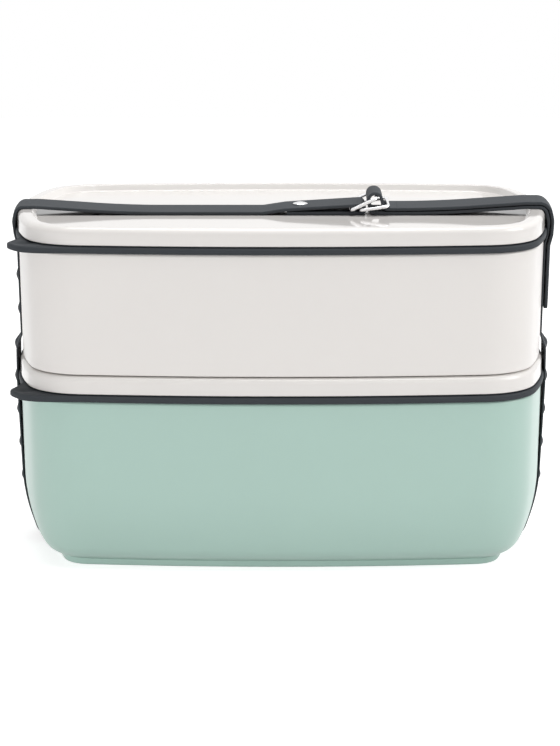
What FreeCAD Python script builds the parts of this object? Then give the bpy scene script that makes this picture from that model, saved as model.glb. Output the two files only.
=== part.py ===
"""Two-tier bento lunch box: two porcelain tubs, two sealed lids and a silicone strap closed by two wire rings.

Millimetres, +Z up, +X along the long side, -Y towards the front. The origin is under the middle of the foot ring.
A section through a wall is a list of corners (inset, height, rounding radius), where inset is measured inwards
from the lid's outer edge, and it is carried once round the plan outline. A negative radius is a straight chamfer.
"""
import FreeCAD, Part
import math
import os

V = FreeCAD.Vector

# Plan outline of the lids: a rectangle whose four sides bow outwards
LENGTH = 210.0
WIDTH = 130.0
LONG_SIDE_BOW_R = 768.0
SHORT_SIDE_BOW_R = 154.0
CORNER_R = 24.0
CENTRE_PLATE_INSET = 20.0

# Fits
SEAT_GAP = 0.05
STACK_GAP = 0.4
SEAL_SIDE_GAP = 0.35
STRAP_GAP = 0.15
EDGE_R = 0.8
EDGE_CUT = 0.6

# Tubs
TUB_WALL = 3.6
TUB_RIM_R = 1.0
LOWER_TUB_H = 68.5
LOWER_RIM_INSET = 0.2
LOWER_FLOOR_T = 4.4
LOWER_FLOOR_Z = 2.6
BELLY_INSET = 1.1
BELLY_Z = 20.7
BELLY_R = 66.0
BELLY_LEAN = 19.5
TOE_Z = 5.6
TOE_R = 9.0
TOE_SLOPE = 24.0
INNER_TOE_R = 7.0
FOOT_INSET = 13.2
FOOT_W = 3.6
UPPER_TUB_H = 47.3
UPPER_RIM_INSET = 0.35
UPPER_BASE_INSET = 1.15
UPPER_FLOOR_T = 4.6
UPPER_FOOT_RECESS = 2.5
UPPER_FOOT_INSET = 11.5

# Lids
LID_H = 6.8
LID_SHOULDER_R = 2.4
LID_DRAFT = 0.2
LID_RIM_W = 5.6
LID_SLOPE_W = 1.8
LID_FLOOR_Z = 4.3
LID_FLOOR_T = 2.4
LID_INNER_R = 1.0
PLUG_INSET = 7.0
PLUG_T = 2.4
PLUG_DEPTH = 6.2
GROOVE_INSET = 2.5
GROOVE_W = 2.4
GROOVE_DEPTH = 3.2

# Seals
SEAL_T = 3.1
SEAL_PROUD = 0.8
SEAL_SHADOW_GAP = 0.6
SEAL_SHADOW_DEPTH = 2.2
SEAL_SKIRT_T = 1.6
SEAL_SKIRT_DEPTH = 5.6
SEAL_LIP_Z = 4.4
TAB_REACH = 8.4
TAB_BACK_ANGLE = 177.0
TAB_TIP_ANGLES = (203.0, 221.0)
TAB_TIP_RADII = (3.0, 6.0)
TAB_HIP_ANGLE = 239.0
TAB_HIP_REACH = 5.0
TAB_HIP_R = 8.0
TAB_FRONT_ANGLE = 266.0
TAB_DIMPLE_R = 9.0
TAB_DIMPLE_DEPTH = 0.7

# Strap
STRAP_W = 20.0
STRAP_T = 1.3
STRETCHED_T = 0.9
STRAP_Y = -4.5
STRAP_GROUND_GAP = 0.3
STRAP_LAYER_GAP = 0.05
RAMP_START_INSET = 8.0
RAMP_START_R = 10.0
RAMP_FOOT_X = 61.0
RAMP_FOOT_REACH = 14.0
RIM_EDGE_PROUD = 0.25
RIM_EDGE_R = 3.2
BULGE_PROUD = 1.6
BULGE_DROP = 4.6
BULGE_R = 8.0
NOTCH_SIDE_GAP = 0.6
STUD_PITCH = 13.8
STUD_FIRST_Z = 25.7
STUD_COUNT = 7
STUD_HALF = 4.0
STUD_TIP_HALF = 0.7
STUD_H = 0.9
STUD_ROOT = 0.4
LOWER_DIVIDE_UP = 3.0
UPPER_DIVIDE_UP = 22.5
TAIL_GAP = 0.3
TAIL_END_Z = 95.0
TAIL_END_R = 7.0

# Buckle: the strap's fold, two wire rings and a rivet
WIRE_D = 1.4
RING_SPAN = 11.2
RING_INNER_W = 21.6
RING_BEND_R = 1.6
BAR_GAP = 0.13
FOLD_SLACK = 0.45
INNER_BAR_X = 27.6
BAR_SPACING = 3.6
INNER_RING_TILT = 25.6
FOLD_START_X = -7.0
FOLD_END_X = 2.2
FOLD_NOSE_GAP = 0.5
FOLD_BEND_R = 12.0
LOOP_SIDE_GAP = 1.0
LOOP_R = 2.7
LOOP_ROOT_R = 2.0
LOOP_TOP_GAP = 0.38
TAIL_ROOT_X = 46.0
TAIL_BAR_GAP = 0.12
RIVET_X = 7.6
RIVET_HEAD_D = 5.9
RIVET_HEAD_H = 1.0
RIVET_SHANK_D = 3.0
RIVET_CLENCH_D = 5.0
RIVET_CLENCH_T = 0.35

# Heights of the stack
HALF_L = LENGTH / 2
HALF_W = WIDTH / 2
LOWER_LID_Z = LOWER_TUB_H + SEAT_GAP + SEAL_T
UPPER_BASE_Z = LOWER_LID_Z + LID_H + STACK_GAP
UPPER_FOOT_Z = LOWER_LID_Z + LID_FLOOR_Z + SEAT_GAP
UPPER_RIM_Z = UPPER_BASE_Z + UPPER_TUB_H
UPPER_LID_Z = UPPER_RIM_Z + SEAT_GAP + SEAL_T
RECESS_Z = UPPER_LID_Z + LID_FLOOR_Z
RIM_TOP_Z = UPPER_LID_Z + LID_H

# Middle lines of the strap's layers
SIDE_OFFSET = STRAP_GAP + STRETCHED_T / 2
LAYER_PITCH = STRAP_T + STRAP_LAYER_GAP
TAIL_LIFT = STRAP_T + TAIL_GAP
FLOOR_RUN_Z = RECESS_Z + STRAP_GAP + STRAP_T / 2
RIM_RUN_Z = RIM_TOP_Z + SEAT_GAP + STRAP_T / 2
RAMP_ANGLE = math.atan2(RIM_RUN_Z - FLOOR_RUN_Z, HALF_L - RAMP_START_INSET - RAMP_FOOT_X)
RAMP_FOOT_R = RAMP_FOOT_REACH / math.tan(RAMP_ANGLE / 2)
BASE_RUN_Z = STRAP_GROUND_GAP + STRETCHED_T / 2
NOTCH_H = STRAP_GROUND_GAP + STRETCHED_T + STRAP_GAP

# Heights at which the strap's side runs are divided, beside the piece that each carries along
STRETCH_LOW_Z = STUD_FIRST_Z + 0.5 * STUD_PITCH
STRETCH_MID_Z = LOWER_LID_Z + LOWER_DIVIDE_UP
STRETCH_TOP_Z = UPPER_BASE_Z + UPPER_DIVIDE_UP
SIDE_RUN_TOP_Z = UPPER_LID_Z + 0.3 * LID_H

# Buckle places
BAR_Z = FLOOR_RUN_Z + STRAP_T / 2 + BAR_GAP + WIRE_D / 2
OUTER_BAR_X = INNER_BAR_X + BAR_SPACING
TAIL_ROOT_Z = FLOOR_RUN_Z + TAIL_LIFT
OUTER_RING_TILT = math.degrees(math.asin((TAIL_LIFT + TAIL_BAR_GAP - BAR_GAP) / RING_SPAN))
FOLD_TOP_Z = BAR_Z + WIRE_D / 2 + FOLD_SLACK + STRAP_T / 2
FOLD_NOSE_X = OUTER_BAR_X + WIRE_D / 2 + FOLD_NOSE_GAP + STRAP_T / 2


def corner_path(corners, place, closed=False):
    """Wire of straight runs through corners (a, b, radius), where place maps (a, b) to 3-D.

    A corner is rounded by its radius, or cut off straight by that length along both runs if the radius is negative.
    """
    count = len(corners)
    flat = [V(a, b, 0) for a, b, _ in corners]
    entries, middles, exits = [], [], []
    for i, (_, _, radius) in enumerate(corners):
        here = flat[i]
        entry, middle, leave = here, None, here
        if radius and (closed or 0 < i < count - 1):
            back = (flat[i - 1] - here).normalize()
            ahead = (flat[(i + 1) % count] - here).normalize()
            half_angle = back.getAngle(ahead) / 2
            reach = radius / math.tan(half_angle) if radius > 0 else -radius
            entry = here + back * reach
            leave = here + ahead * reach
            bisector = (back + ahead).normalize()
            middle = here + bisector * (radius / math.sin(half_angle) - radius) if radius > 0 else None
        entries.append(entry)
        middles.append(middle)
        exits.append(leave)
    edges = []

    def add_line(start, end):
        if (end - start).Length > 1e-6:
            edges.append(Part.LineSegment(place(start.x, start.y), place(end.x, end.y)).toShape())

    for i in range(count):
        if middles[i] is None:
            add_line(entries[i], exits[i])
        else:
            edges.append(Part.Arc(*[place(p.x, p.y) for p in (entries[i], middles[i], exits[i])]).toShape())
        if closed or i < count - 1:
            add_line(exits[i], entries[(i + 1) % count])
    return Part.Wire(edges)


def corner_centre():
    """Centre of the front right corner arc, which touches the front arc and the right-hand arc from inside."""
    front = V(0, LONG_SIDE_BOW_R - HALF_W, 0)
    side = V(HALF_L - SHORT_SIDE_BOW_R, 0, 0)
    to_front = LONG_SIDE_BOW_R - CORNER_R
    to_side = SHORT_SIDE_BOW_R - CORNER_R
    span = (side - front).Length
    along = (side - front).normalize()
    across = V(-along.y, along.x, 0)
    foot = (to_front ** 2 - to_side ** 2 + span ** 2) / (2 * span)
    height = math.sqrt(to_front ** 2 - foot ** 2)
    return front + along * foot + across * height


CORNER = corner_centre()


def plan_wire(inset, z):
    """The lid's plan outline moved inwards by inset, at height z, starting at the middle of the front."""
    front = V(0, LONG_SIDE_BOW_R - HALF_W, 0)
    side = V(HALF_L - SHORT_SIDE_BOW_R, 0, 0)

    def on(centre, radius, direction):
        return centre + V(direction.x, direction.y, 0).normalize() * (radius - inset)

    front_end = on(CORNER, CORNER_R, CORNER - front)
    side_end = on(CORNER, CORNER_R, CORNER - side)
    corner_middle = on(CORNER, CORNER_R, (CORNER - front).normalize() + (CORNER - side).normalize())
    front_start = on(front, LONG_SIDE_BOW_R, V(0, -1, 0))
    front_middle = on(front, LONG_SIDE_BOW_R, (front_start - front) + (front_end - front))
    side_start = on(side, SHORT_SIDE_BOW_R, V(1, 0, 0))
    side_middle = on(side, SHORT_SIDE_BOW_R, (side_start - side) + (side_end - side))
    quarter = [(front_start, front_middle, front_end), (front_end, corner_middle, side_end),
               (side_end, side_middle, side_start)]
    edges = []
    for sx, sy, reverse in ((1, 1, False), (1, -1, True), (-1, -1, False), (-1, 1, True)):
        arcs = [[V(p.x * sx, p.y * sy, z) for p in arc] for arc in quarter]
        if reverse:
            arcs = [arc[::-1] for arc in arcs[::-1]]
        edges += [Part.Arc(*arc).toShape() for arc in arcs]
    return Part.Wire(edges)


def carried_round(section):
    """Solid ring: a closed section of corners (inset, z, radius) carried round the plan outline."""
    sweep = Part.BRepOffsetAPI.MakePipeShell(plan_wire(0, 0))
    sweep.setBiNormalMode(V(0, 0, 1))
    sweep.add(corner_path(section, lambda inset, z: V(0, inset - HALF_W, z), closed=True), False, False)
    sweep.build()
    sweep.makeSolid()
    return sweep.shape()


def plate(inset, bottom, top):
    """Flat plate with the plan outline."""
    return Part.Face(plan_wire(inset, bottom)).extrude(V(0, 0, top - bottom))


def with_centre(section, bottom, top):
    """A ring closed by a centre plate into a tub or a lid."""
    return carried_round(section).fuse(plate(CENTRE_PLATE_INSET, bottom, top)).removeSplitter()


def toe_inset():
    """Inset of the corner where the lower tub's leaning belly meets its sloping underside."""
    return BELLY_INSET + (BELLY_Z - TOE_Z) * math.tan(math.radians(BELLY_LEAN))


def lower_tub():
    """Tub with a belly that leans in to a sloping underside, and a foot ring notched for the strap."""
    floor_top = LOWER_FLOOR_Z + LOWER_FLOOR_T
    foot_top = TOE_Z - (FOOT_INSET - toe_inset()) * math.tan(math.radians(TOE_SLOPE))
    inner_toe = BELLY_INSET + TUB_WALL + (BELLY_Z - floor_top) * math.tan(math.radians(BELLY_LEAN))
    section = [
        (LOWER_RIM_INSET, LOWER_TUB_H, TUB_RIM_R),
        (BELLY_INSET, BELLY_Z, BELLY_R),
        (toe_inset(), TOE_Z, TOE_R),
        (FOOT_INSET, foot_top, 0),
        (FOOT_INSET, 0, -EDGE_CUT),
        (FOOT_INSET + FOOT_W, 0, -EDGE_CUT),
        (FOOT_INSET + FOOT_W, LOWER_FLOOR_Z, 0),
        (CENTRE_PLATE_INSET, LOWER_FLOOR_Z, 0),
        (CENTRE_PLATE_INSET, floor_top, 0),
        (inner_toe, floor_top, INNER_TOE_R),
        (BELLY_INSET + TUB_WALL, BELLY_Z, BELLY_R - TUB_WALL),
        (LOWER_RIM_INSET + TUB_WALL, LOWER_TUB_H, TUB_RIM_R),
    ]
    notch_w = STRAP_W + 2 * NOTCH_SIDE_GAP
    notch = Part.makeBox(LENGTH, notch_w, NOTCH_H, V(-HALF_L, STRAP_Y - notch_w / 2, 0))
    return with_centre(section, LOWER_FLOOR_Z, floor_top).cut(notch)


def upper_tub():
    """Tub with near upright walls, whose foot ring stands in the recess of the lid below."""
    floor_bottom = UPPER_FOOT_Z + UPPER_FOOT_RECESS
    floor_top = floor_bottom + UPPER_FLOOR_T
    section = [
        (UPPER_RIM_INSET, UPPER_RIM_Z, TUB_RIM_R),
        (UPPER_BASE_INSET, UPPER_BASE_Z, EDGE_R),
        (UPPER_FOOT_INSET, UPPER_BASE_Z, 0),
        (UPPER_FOOT_INSET, UPPER_FOOT_Z, -EDGE_CUT),
        (UPPER_FOOT_INSET + FOOT_W, UPPER_FOOT_Z, -EDGE_CUT),
        (UPPER_FOOT_INSET + FOOT_W, floor_bottom, 0),
        (CENTRE_PLATE_INSET, floor_bottom, 0),
        (CENTRE_PLATE_INSET, floor_top, 0),
        (UPPER_BASE_INSET + TUB_WALL, floor_top, INNER_TOE_R),
        (UPPER_RIM_INSET + TUB_WALL, UPPER_RIM_Z, TUB_RIM_R),
    ]
    return with_centre(section, floor_bottom, floor_top)


def lid(base_z):
    """Lid with a raised rim round a recess, a groove for the seal's bead and a plug that reaches into the tub."""
    floor_top = base_z + LID_FLOOR_Z
    floor_bottom = floor_top - LID_FLOOR_T
    top = base_z + LID_H
    plug_inner = PLUG_INSET + PLUG_T
    section = [
        (0, base_z, 0),
        (LID_DRAFT, top, LID_SHOULDER_R),
        (LID_RIM_W, top, LID_INNER_R),
        (LID_RIM_W + LID_SLOPE_W, floor_top, -EDGE_CUT),
        (CENTRE_PLATE_INSET, floor_top, 0),
        (CENTRE_PLATE_INSET, floor_bottom, 0),
        (plug_inner, floor_bottom, 0),
        (plug_inner, base_z - PLUG_DEPTH, -EDGE_CUT),
        (PLUG_INSET, base_z - PLUG_DEPTH, -EDGE_CUT),
        (PLUG_INSET, base_z, 0),
        (GROOVE_INSET + GROOVE_W, base_z, 0),
        (GROOVE_INSET + GROOVE_W, base_z + GROOVE_DEPTH, 0),
        (GROOVE_INSET, base_z + GROOVE_DEPTH, 0),
        (GROOVE_INSET, base_z, 0),
    ]
    return with_centre(section, floor_bottom, floor_top)


def pull_tab(base_z):
    """Lobe of the seal at the front left corner, with a thumb dimple on top."""
    def at(angle, reach):
        turn = math.radians(angle)
        radius = CORNER_R + reach
        return -CORNER.x + radius * math.cos(turn), CORNER.y + radius * math.sin(turn)

    inner_angle = (TAB_BACK_ANGLE + TAB_FRONT_ANGLE) / 2
    tip_back, tip_front = TAB_TIP_ANGLES
    corners = [
        (*at(inner_angle, -GROOVE_INSET), 0),
        (*at(TAB_FRONT_ANGLE, 0), 0),
        (*at(TAB_HIP_ANGLE, TAB_HIP_REACH), TAB_HIP_R),
        (*at(tip_front, TAB_REACH), TAB_TIP_RADII[1]),
        (*at(tip_back, TAB_REACH), TAB_TIP_RADII[0]),
        (*at(TAB_BACK_ANGLE, 0), 0),
    ]
    bottom = base_z - SEAL_T
    thickness = SEAL_T - SEAL_SHADOW_GAP
    outline = corner_path(corners, lambda x, y: V(x, y, bottom), closed=True)
    lobe = Part.Face(outline).extrude(V(0, 0, thickness))
    middle = at((tip_back + tip_front) / 2, TAB_REACH / 2)
    ball_z = bottom + thickness - TAB_DIMPLE_DEPTH + TAB_DIMPLE_R
    return lobe.cut(Part.makeSphere(TAB_DIMPLE_R, V(*middle, ball_z)))


def seal(base_z):
    """Silicone ring between lid and tub: outer band, bead in the lid's groove, skirt round the plug with a lip."""
    bottom = base_z - SEAL_T
    skirt_inset = PLUG_INSET - SEAL_SKIRT_T
    lip_inset = max(LOWER_RIM_INSET, UPPER_RIM_INSET) + TUB_WALL + SEAL_SIDE_GAP
    shadow_z = base_z - SEAL_SHADOW_GAP
    shadow_end = SEAL_SHADOW_DEPTH - SEAL_PROUD
    lip_half = SEAL_SKIRT_DEPTH - SEAL_LIP_Z
    section = [
        (-SEAL_PROUD, bottom, -EDGE_CUT),
        (-SEAL_PROUD, shadow_z, -EDGE_CUT),
        (shadow_end, shadow_z, 0),
        (shadow_end, base_z, 0),
        (GROOVE_INSET, base_z, 0),
        (GROOVE_INSET, base_z + GROOVE_DEPTH, 0),
        (GROOVE_INSET + GROOVE_W, base_z + GROOVE_DEPTH, 0),
        (GROOVE_INSET + GROOVE_W, base_z, 0),
        (PLUG_INSET, base_z, 0),
        (PLUG_INSET, base_z - SEAL_SKIRT_DEPTH, 0),
        (skirt_inset, base_z - SEAL_SKIRT_DEPTH, 0),
        (lip_inset, base_z - SEAL_LIP_Z, 0),
        (skirt_inset, base_z - SEAL_LIP_Z + lip_half, 0),
        (skirt_inset, bottom, 0),
    ]
    inside = plate(GROOVE_INSET, bottom - 1, base_z + 1)
    return carried_round(section).fuse(pull_tab(base_z).cut(inside)).removeSplitter()


def band(corners, thickness=STRAP_T):
    """Strap of the full width along a route of corners (x, z, radius) in the XZ plane."""
    route = corner_path(corners, lambda x, z: V(x, STRAP_Y, z))
    start = route.Edges[0].valueAt(route.Edges[0].FirstParameter)
    ahead = route.Edges[0].tangentAt(route.Edges[0].FirstParameter)
    across = V(-ahead.z, 0, ahead.x) * (thickness / 2)
    edge = V(0, STRAP_W / 2, 0)
    ends = [start + across + edge, start + across - edge, start - across - edge, start - across + edge]
    sweep = Part.BRepOffsetAPI.MakePipeShell(route)
    sweep.setBiNormalMode(V(0, 1, 0))
    sweep.add(Part.makePolygon(ends + ends[:1]), False, False)
    sweep.build()
    sweep.makeSolid()
    return sweep.shape()


def lifted(corners, lift):
    """A route moved by lift to the left of its way: each corner goes along its mitre, and its radius to suit."""
    flat = [V(a, b, 0) for a, b, _ in corners]
    runs = [(end - start).normalize() for start, end in zip(flat, flat[1:])]
    sides = [V(-run.y, run.x, 0) for run in runs]
    moved = []
    for here, before, after, corner in zip(flat, sides[:1] + sides, sides + sides[-1:], corners):
        place = here + (before + after) * (lift / (1 + before.dot(after)))
        turns_right = before.cross(after).z < 0
        moved.append((place.x, place.y, corner[2] + (lift if turns_right else -lift)))
    return moved


def side_corners(side, lift=0.0):
    """Route up one short side, from under the base over the lid's rim to the recess; side is -1 left or +1 right.

    A second layer runs outside the first by its lift.
    """
    lean = math.tan(math.radians(BELLY_LEAN))
    lean_shift = SIDE_OFFSET / math.cos(math.radians(BELLY_LEAN))
    seal_run = -SEAL_PROUD - SIDE_OFFSET
    corners = [
        (BELLY_INSET - lean_shift + (BELLY_Z - BASE_RUN_Z) * lean, BASE_RUN_Z, TOE_R + SIDE_OFFSET),
        (BELLY_INSET - SIDE_OFFSET, BELLY_Z - SIDE_OFFSET * math.tan(math.radians(BELLY_LEAN / 2)),
         BELLY_R + SIDE_OFFSET),
        (seal_run, LOWER_TUB_H - SEAL_T, 4 * SEAL_T),
        (seal_run, UPPER_BASE_Z + STRAP_T, 2 * SEAL_T),
        (UPPER_BASE_INSET - SIDE_OFFSET, UPPER_BASE_Z + LID_H, 2 * SEAL_T),
        (UPPER_RIM_INSET - SIDE_OFFSET, UPPER_RIM_Z - SEAL_T - STRAP_T, 2 * SEAL_T),
        (seal_run, UPPER_RIM_Z, SEAL_T),
        (-BULGE_PROUD, RIM_TOP_Z - BULGE_DROP, BULGE_R),
        (-RIM_EDGE_PROUD, RIM_RUN_Z, RIM_EDGE_R),
        (RAMP_START_INSET, RIM_RUN_Z, RAMP_START_R),
        (HALF_L - RAMP_FOOT_X, FLOOR_RUN_Z, RAMP_FOOT_R),
        (HALF_L - TAIL_ROOT_X, FLOOR_RUN_Z, 0),
    ]
    return [(side * (HALF_L - inset), z, radius) for inset, z, radius in lifted(corners, lift)]


def slab(low, high):
    """Everything between two heights."""
    return Part.makeBox(2 * LENGTH, LENGTH, high - low, V(-LENGTH, -HALF_L, low))


def stud(side, z, run):
    """Low diamond pyramid on the outer face of a side run, at height z, sunk into the run by its root."""
    level = Part.makeLine(V(0, STRAP_Y, z), V(side * LENGTH, STRAP_Y, z))
    face_x = max(abs(v.Point.x) for v in run.common(level).Vertexes)
    spread = (STUD_HALF - STUD_TIP_HALF) / STUD_H
    base = (STUD_HALF + STUD_ROOT * spread) / math.sqrt(2)
    tip = STUD_TIP_HALF / math.sqrt(2)
    height = STUD_ROOT + STUD_H
    pyramid = Part.makeWedge(-base, 0, -base, -tip, -tip, base, height, base, tip, tip)
    pyramid.rotate(V(), V(0, 1, 0), 45)
    pyramid.rotate(V(), V(0, 0, 1), -90 * side)
    pyramid.translate(V(side * (face_x - STUD_ROOT), STRAP_Y, z))
    return pyramid


def strap_runs():
    """The strap's base run and side runs, drawn thin, divided where each lid or tub lifts, with their studs."""
    runs = {}
    base_parts = []
    studded_to = {-1: UPPER_RIM_Z - STUD_HALF, 1: TAIL_END_Z - STUD_HALF}
    for side, name in ((-1, "left"), (1, "right")):
        plain = band([(0, BASE_RUN_Z, 0)] + side_corners(side), STRETCHED_T)
        heights = [STUD_FIRST_Z + k * STUD_PITCH for k in range(STUD_COUNT)]
        run = plain.fuse([stud(side, z, plain) for z in heights if z < studded_to[side]])
        pieces = {
            f"strap_{name}_lower": (STRETCH_LOW_Z, STRETCH_MID_Z),
            f"strap_{name}_middle": (STRETCH_MID_Z, STRETCH_TOP_Z),
            f"strap_{name}_upper": (STRETCH_TOP_Z, SIDE_RUN_TOP_Z),
        }
        for node, (low, high) in pieces.items():
            runs[node] = run.common(slab(low, high)).removeSplitter()
        base_parts.append(run.common(slab(0, STRETCH_LOW_Z)))
    runs["strap_base"] = base_parts[0].fuse(base_parts[1]).removeSplitter()
    return runs


def above_side_runs(shape):
    """The part of a top run above the side runs."""
    return shape.common(slab(SIDE_RUN_TOP_Z, SIDE_RUN_TOP_Z + LENGTH))


def strap_top_left():
    """Left top run: over the rim, along the recess, over its own end and round both rings' bars."""
    step_x = FOLD_END_X - STRAP_T / 2
    fold_r = (FOLD_TOP_Z - FLOOR_RUN_Z) / 2 - STRAP_LAYER_GAP / 2
    fold = [
        (FOLD_START_X, FLOOR_RUN_Z, FOLD_BEND_R),
        (step_x, FLOOR_RUN_Z + LAYER_PITCH, FOLD_BEND_R),
        (FOLD_NOSE_X, FOLD_TOP_Z, fold_r),
        (FOLD_NOSE_X, FLOOR_RUN_Z, fold_r),
        (FOLD_END_X, FLOOR_RUN_Z, 0),
    ]
    return above_side_runs(band(side_corners(-1)[5:-1] + fold))


def strap_top_right():
    """Right top run: over the rim and along the recess to the loop."""
    return above_side_runs(band(side_corners(1)[5:]))


def ring_end(bar_x, tilt):
    """Centre of a ring's right-hand bar, as (x, z)."""
    turn = math.radians(tilt)
    return bar_x + RING_SPAN * math.cos(turn), BAR_Z + RING_SPAN * math.sin(turn)


def strap_loop():
    """Loop through the rings: up beside the fold, over the inner ring's bar and down under the outer ring's bar."""
    _, inner_z = ring_end(INNER_BAR_X, INNER_RING_TILT)
    left = FOLD_NOSE_X + STRAP_T + LOOP_SIDE_GAP
    right = left + 2 * LOOP_R
    top = inner_z + WIRE_D / 2 + LOOP_TOP_GAP + STRAP_T / 2
    under_bar_r = WIRE_D / 2 + 2 * TAIL_BAR_GAP + STRAP_T / 2 + STRAP_GAP
    return band([
        (TAIL_ROOT_X, FLOOR_RUN_Z, 0),
        (left, FLOOR_RUN_Z, LOOP_ROOT_R),
        (left, top, LOOP_R - STRAP_LAYER_GAP),
        (right, top, LOOP_R - STRAP_LAYER_GAP),
        (right, TAIL_ROOT_Z, under_bar_r),
        (TAIL_ROOT_X, TAIL_ROOT_Z, 0),
    ])


def strap_tail():
    """Free end: from the outer ring along the right top run, over the rim and down outside, with rounded corners."""
    root = (TAIL_ROOT_X + STRAP_LAYER_GAP, TAIL_ROOT_Z, 0)
    tail = band([root] + side_corners(1, TAIL_LIFT)[-2:2:-1])
    near, far = STRAP_Y - STRAP_W / 2, STRAP_Y + STRAP_W / 2
    top = RIM_RUN_Z + LENGTH
    outline = [(near, TAIL_END_Z, TAIL_END_R), (far, TAIL_END_Z, TAIL_END_R), (far, top, 0), (near, top, 0)]
    keep = Part.Face(corner_path(outline, lambda y, z: V(0, y, z), closed=True)).extrude(V(LENGTH, 0, 0))
    return tail.common(keep)


def wire_ring(bar_x, tilt):
    """Rectangular ring of round wire, whose left bar lies along Y at bar_x and whose plane is tilted up to the right."""
    half = (RING_INNER_W + WIRE_D) / 2
    turn = math.radians(tilt)

    def place(along, y):
        return V(bar_x + along * math.cos(turn), STRAP_Y + y, BAR_Z + along * math.sin(turn))

    corners = [
        (0, 0, 0),
        (0, half, RING_BEND_R),
        (RING_SPAN, half, RING_BEND_R),
        (RING_SPAN, -half, RING_BEND_R),
        (0, -half, RING_BEND_R),
    ]
    sweep = Part.BRepOffsetAPI.MakePipeShell(corner_path(corners, place, closed=True))
    sweep.setBiNormalMode(V(-math.sin(turn), 0, math.cos(turn)))
    sweep.add(Part.Wire(Part.makeCircle(WIRE_D / 2, place(0, 0), V(0, 1, 0))), False, False)
    sweep.build()
    sweep.makeSolid()
    return sweep.shape()


def rivet(fold):
    """Rivet through the fold's two layers: domed head on top, shank, and a clenched disc let in underneath."""
    axis = Part.makeLine(V(RIVET_X, STRAP_Y, RECESS_Z), V(RIVET_X, STRAP_Y, RECESS_Z + LENGTH))
    levels = [v.Point.z for v in fold.common(axis).Vertexes]
    bottom, top = min(levels), max(levels)
    head_r = RIVET_HEAD_D / 2
    dome_r = (head_r ** 2 + RIVET_HEAD_H ** 2) / (2 * RIVET_HEAD_H)
    dome = Part.makeSphere(dome_r, V(RIVET_X, STRAP_Y, top + RIVET_HEAD_H - dome_r))
    head = dome.common(Part.makeCylinder(RIVET_HEAD_D, LENGTH, V(RIVET_X, STRAP_Y, top)))
    shank = Part.makeCylinder(RIVET_SHANK_D / 2, top - bottom, V(RIVET_X, STRAP_Y, bottom))
    clench = Part.makeCylinder(RIVET_CLENCH_D / 2, RIVET_CLENCH_T, V(RIVET_X, STRAP_Y, bottom))
    return head.fuse(shank).fuse(clench).removeSplitter()


def build():
    """Every piece by its name."""
    fold = strap_top_left()
    pin = rivet(fold)
    pieces = {
        "lower_box": lower_tub(),
        "lower_seal": seal(LOWER_LID_Z),
        "lower_lid": lid(LOWER_LID_Z),
        "upper_box": upper_tub(),
        "upper_seal": seal(UPPER_LID_Z),
        "upper_lid": lid(UPPER_LID_Z),
        "strap_top_left": fold.cut(pin),
        "strap_rivet": pin,
        "strap_top_right": strap_top_right(),
        "strap_loop": strap_loop(),
        "strap_tail": strap_tail(),
        "ring_inner": wire_ring(INNER_BAR_X, INNER_RING_TILT),
        "ring_outer": wire_ring(OUTER_BAR_X, OUTER_RING_TILT),
    }
    pieces.update(strap_runs())
    return pieces


def main():
    os.makedirs("parts", exist_ok=True)
    for name, shape in build().items():
        box = shape.BoundBox
        print(f"{name}: valid {shape.isValid()}, solids {len(shape.Solids)}, volume {shape.Volume:.1f},"
              f" x {box.XMin:.2f} {box.XMax:.2f}, y {box.YMin:.2f} {box.YMax:.2f}, z {box.ZMin:.2f} {box.ZMax:.2f}")
        shape.exportStep(f"parts/{name}.step")


main()
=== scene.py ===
"""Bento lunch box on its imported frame: glazed tubs, lids, seals and a silicone strap with wire rings.

Lengths are millimetres, apart from those of the stage and the bumps, which are metres. Meshes are written in
metres. A wall's section is a list of corners (inset, height, rounding radius), with inset measured inwards
from the lid's outer edge.
"""
import math

import bmesh
import bpy
import numpy as np
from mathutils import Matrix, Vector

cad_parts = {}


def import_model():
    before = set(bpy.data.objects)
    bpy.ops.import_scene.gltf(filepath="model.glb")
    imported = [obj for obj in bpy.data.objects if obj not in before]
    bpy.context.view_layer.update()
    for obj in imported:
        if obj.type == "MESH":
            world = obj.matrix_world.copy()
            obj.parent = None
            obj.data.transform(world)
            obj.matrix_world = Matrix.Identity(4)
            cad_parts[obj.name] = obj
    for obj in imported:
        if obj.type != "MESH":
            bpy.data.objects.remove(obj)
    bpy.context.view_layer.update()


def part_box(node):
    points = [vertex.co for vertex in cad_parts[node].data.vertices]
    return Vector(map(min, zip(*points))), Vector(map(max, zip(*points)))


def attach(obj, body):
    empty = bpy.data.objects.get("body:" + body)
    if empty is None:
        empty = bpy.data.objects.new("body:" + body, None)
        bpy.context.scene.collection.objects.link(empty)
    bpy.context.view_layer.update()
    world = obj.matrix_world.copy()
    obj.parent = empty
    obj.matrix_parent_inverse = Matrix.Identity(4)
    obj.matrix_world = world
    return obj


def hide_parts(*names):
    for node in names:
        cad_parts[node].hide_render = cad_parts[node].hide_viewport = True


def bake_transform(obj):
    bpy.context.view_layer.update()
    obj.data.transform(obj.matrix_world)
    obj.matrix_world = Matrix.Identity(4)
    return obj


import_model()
MM = 0.001


def node_box(node):
    """Lowest and highest corner of a CAD node, in millimetres."""
    low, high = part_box(node)
    return np.array(low) / MM, np.array(high) / MM


# Plan outline of the lids: a rectangle whose four sides bow outwards
HALF_L, HALF_W = node_box("upper_lid")[1][:2]
LONG_SIDE_BOW_R = 768.0
SHORT_SIDE_BOW_R = 154.0
CORNER_R = 24.0
CENTRE_INSET = 20.0

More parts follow.
